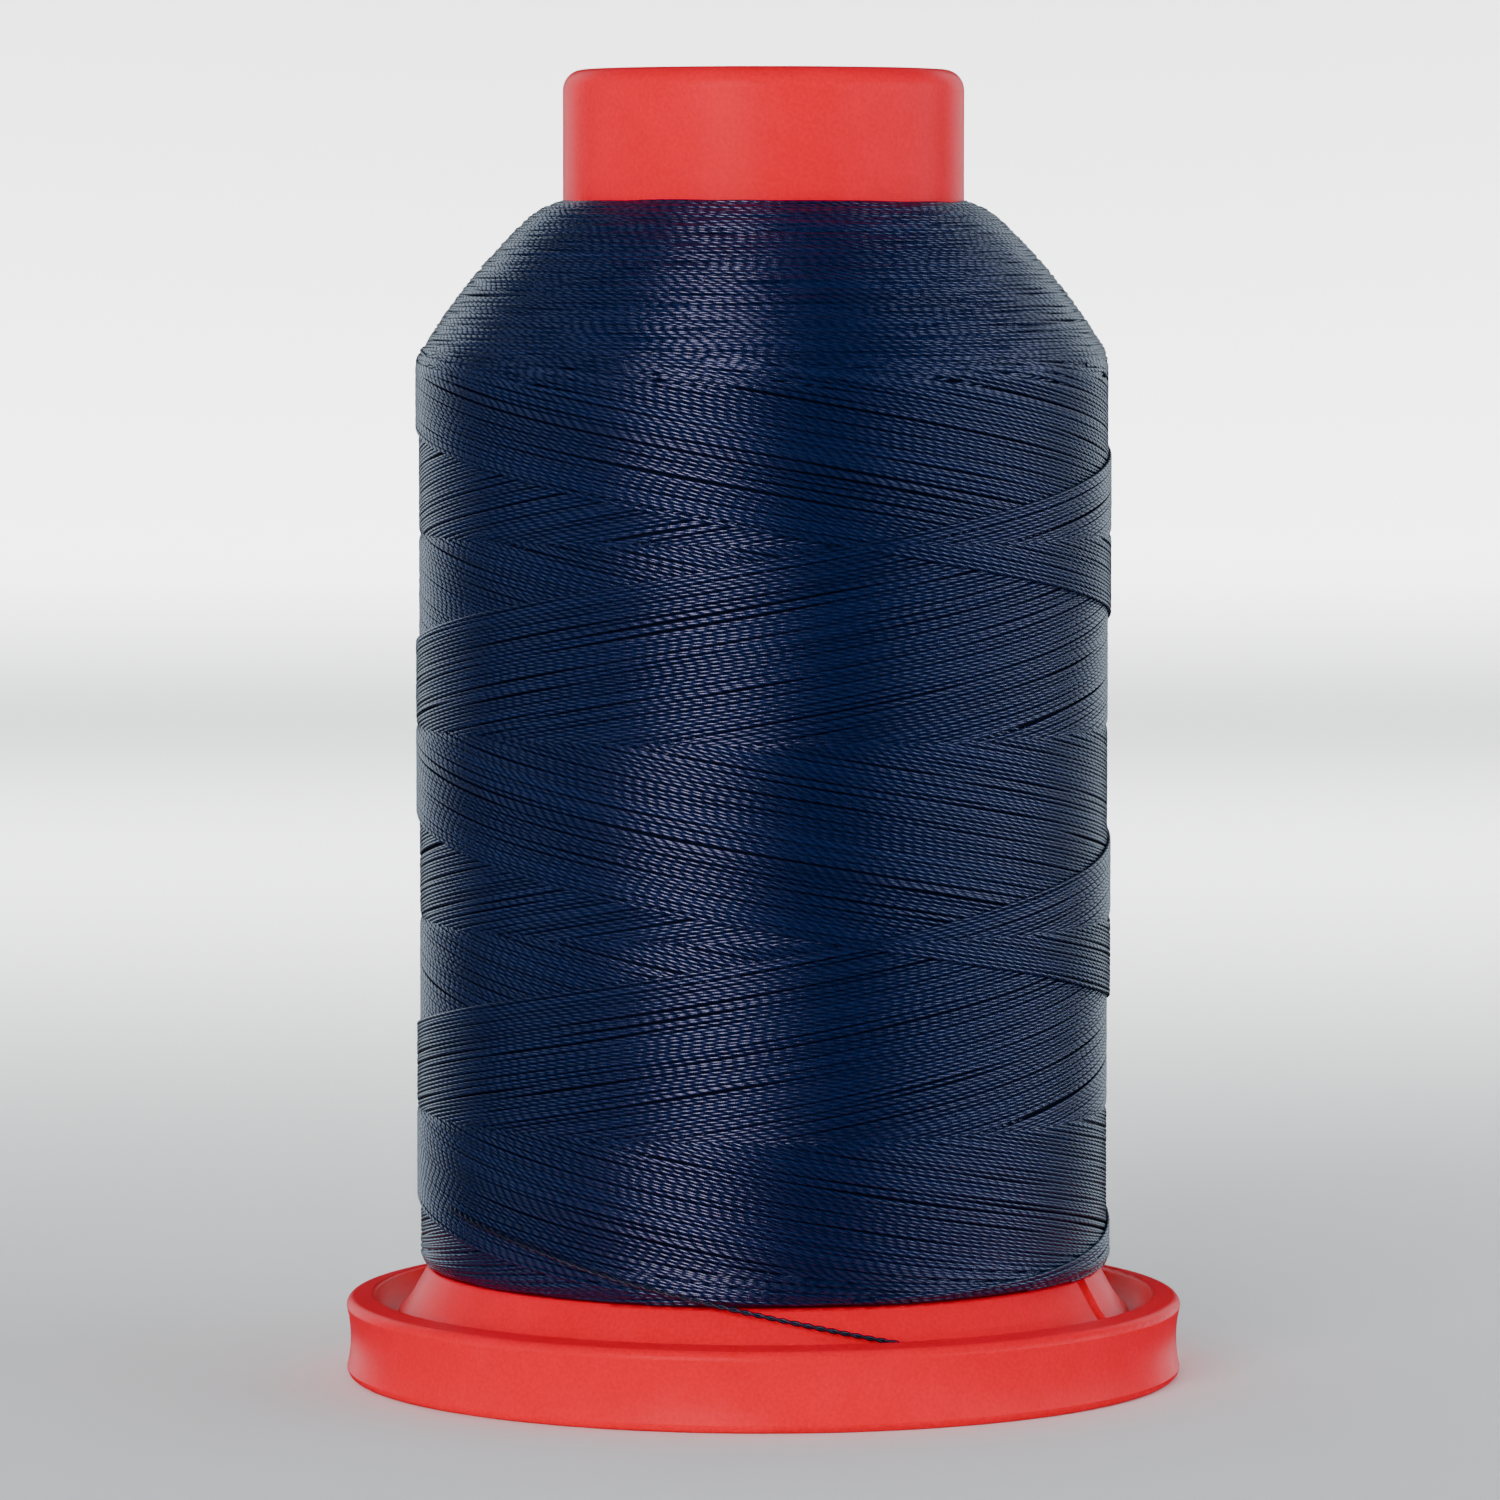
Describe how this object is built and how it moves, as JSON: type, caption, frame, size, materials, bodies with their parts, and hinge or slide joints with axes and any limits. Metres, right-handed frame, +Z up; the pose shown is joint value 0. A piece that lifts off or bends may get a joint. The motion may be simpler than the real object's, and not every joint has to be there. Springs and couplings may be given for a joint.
{
  "type": "spool of thread",
  "caption": "Red plastic snap-foot spool cross-wound with glossy navy embroidery thread, thread end tucked into the groove of its foot.",
  "frame": {"origin": "centre of the foot on the surface the spool stands on", "axes": "+Z up along the spool axis; the thread end runs across the -Y side, which faces the viewer"},
  "size_m": [0.0448, 0.0448, 0.0698],
  "materials": {
    "foot_plastic": "satin moulded",
    "label_paper": "plain matt paper",
    "core_plastic": "satin moulded",
    "wound_thread": "lustrous twisted polyester",
    "tail_thread": "lustrous twisted polyester"
  },
  "bodies": {
    "foot": {"snap_foot": "foot_plastic", "base_label": "label_paper"},
    "spool": {"spool_core": "core_plastic", "thread_package": "wound_thread", "thread_tail": "tail_thread"}
  },
  "joints": [
    {"name": "foot_snap", "type": "slide", "parent": "foot", "child": "spool", "axis": [0, 0, 1], "range_m": [0, 0.0035]}
  ]
}
